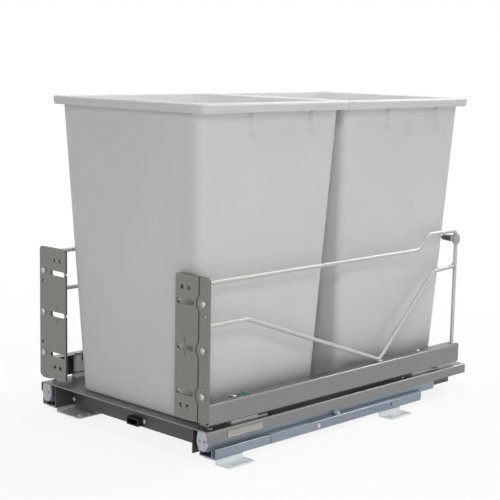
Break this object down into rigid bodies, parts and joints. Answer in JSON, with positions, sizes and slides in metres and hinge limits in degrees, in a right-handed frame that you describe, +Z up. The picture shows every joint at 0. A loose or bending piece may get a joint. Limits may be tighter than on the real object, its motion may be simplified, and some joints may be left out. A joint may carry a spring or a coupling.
{
  "type": "pull-out recycling bin",
  "caption": "Floor-mounted pull-out carriage on soft-close slides, with door plates, a wire gallery and lift-out tapered bins, for a kitchen base cabinet.",
  "frame": {"origin": "middle of the unit's own box at the cabinet floor", "axes": "+Z up, +Y towards the cabinet's back, +X to the right seen from the front; the carriage pulls out along -Y"},
  "size_m": [0.3938, 0.5848, 0.467],
  "materials": {
    "zinc_rail": "satin zinc plate",
    "zinc_foot": "bright zinc plate",
    "rivet_steel": "bright zinc plate",
    "bearing_steel": "polished",
    "cage_plastic": "natural plastic",
    "catch_plastic": "lilac-grey plastic",
    "cap_plastic": "lilac-grey plastic",
    "nickel": "satin nickel",
    "wire_nickel": "bright satin nickel",
    "dark_frame": "dark satin paint",
    "black_tube": "black satin paint",
    "screw_steel": "bright zinc plate",
    "badge_metal": "satin",
    "spacer_plastic": "pale grey plastic",
    "lock_green": "green plastic",
    "knuckle_plastic": "mid grey plastic",
    "bin_plastic": "light grey moulded plastic"
  },
  "bodies": {
    "cabinet_rails": {"cabinet_rail_r": "zinc_rail", "cabinet_rail_l": "zinc_rail", "rail_sleeve_r": "zinc_rail", "rail_sleeve_l": "zinc_rail", "foot_front_r": "zinc_foot", "foot_front_l": "zinc_foot", "foot_rear_r": "zinc_foot", "foot_rear_l": "zinc_foot", "damper_cylinder_r": "rivet_steel", "damper_cylinder_l": "rivet_steel", "rail_rivets": "rivet_steel"},
    "lower_cages": {"lower_cage_r": "cage_plastic", "lower_cage_l": "cage_plastic", "lower_balls": "bearing_steel"},
    "intermediate_rails": {"intermediate_rail_r": "zinc_rail", "intermediate_rail_l": "zinc_rail"},
    "upper_cages": {"upper_cage_r": "cage_plastic", "upper_cage_l": "cage_plastic", "upper_balls": "bearing_steel"},
    "soft_close_sliders": {"damper_catch_r": "catch_plastic", "damper_catch_l": "catch_plastic", "damper_rod_r": "rivet_steel", "damper_rod_l": "rivet_steel"},
    "carriage": {"drawer_rail_r": "zinc_rail", "drawer_rail_l": "zinc_rail", "end_cap_r": "cap_plastic", "end_cap_l": "cap_plastic", "side_channel_r": "dark_frame", "side_channel_l": "dark_frame", "side_rail_r": "nickel", "side_rail_l": "nickel", "front_clamp_block_r": "spacer_plastic", "front_clamp_block_l": "spacer_plastic", "door_plate_r": "nickel", "door_plate_l": "nickel", "backing_plate_r": "nickel", "backing_plate_l": "nickel", "top_wire_r": "wire_nickel", "top_wire_l": "wire_nickel", "lower_wire_r": "wire_nickel", "lower_wire_l": "wire_nickel", "rod_knuckle_r": "knuckle_plastic", "rod_knuckle_l": "knuckle_plastic", "deck": "nickel", "deck_screws": "screw_steel", "front_crossbar": "dark_frame", "rear_crossbar": "dark_frame", "centre_beam": "black_tube", "crossbar_screws": "screw_steel", "badge_plate": "badge_metal", "rear_clamp_blocks": "spacer_plastic", "rail_screws": "screw_steel", "plate_screws": "screw_steel", "rear_cross_rod": "wire_nickel"},
    "front_bin": {"front_bin": "bin_plastic"},
    "rear_bin": {"rear_bin": "bin_plastic"},
    "lock_button_right": {"lock_button_r": "lock_green"},
    "lock_button_left": {"lock_button_l": "lock_green"}
  },
  "joints": [
    {"name": "carriage_slide", "type": "slide", "parent": "cabinet_rails", "child": "carriage", "axis": [0, -1, 0], "range_m": [0, 0.5]},
    {"name": "intermediate_slide", "type": "slide", "parent": "cabinet_rails", "child": "intermediate_rails", "axis": [0, -1, 0], "range_m": [0, 0.25]},
    {"name": "lower_cage_slide", "type": "slide", "parent": "cabinet_rails", "child": "lower_cages", "axis": [0, -1, 0], "range_m": [0, 0.125]},
    {"name": "upper_cage_slide", "type": "slide", "parent": "cabinet_rails", "child": "upper_cages", "axis": [0, -1, 0], "range_m": [0, 0.375]},
    {"name": "soft_close_slide", "type": "slide", "parent": "cabinet_rails", "child": "soft_close_sliders", "axis": [0, -1, 0], "range_m": [0, 0.04]},
    {"name": "front_bin_lift", "type": "slide", "parent": "carriage", "child": "front_bin", "axis": [0, 0, 1], "range_m": [0, 0.45]},
    {"name": "rear_bin_lift", "type": "slide", "parent": "carriage", "child": "rear_bin", "axis": [0, 0, 1], "range_m": [0, 0.45]},
    {"name": "lock_press_right", "type": "slide", "parent": "carriage", "child": "lock_button_right", "axis": [0, 0, -1], "range_m": [0, 0.002], "stiffness_N_per_m": 800},
    {"name": "lock_press_left", "type": "slide", "parent": "carriage", "child": "lock_button_left", "axis": [0, 0, -1], "range_m": [0, 0.002], "stiffness_N_per_m": 800}
  ],
  "couplings": [
    {"joint": "intermediate_slide", "follows": "carriage_slide", "ratio": 0.5},
    {"joint": "lower_cage_slide", "follows": "carriage_slide", "ratio": 0.25},
    {"joint": "upper_cage_slide", "follows": "carriage_slide", "ratio": 0.75},
    {"joint": "soft_close_slide", "follows": "carriage_slide", "ratio": 0.08}
  ]
}
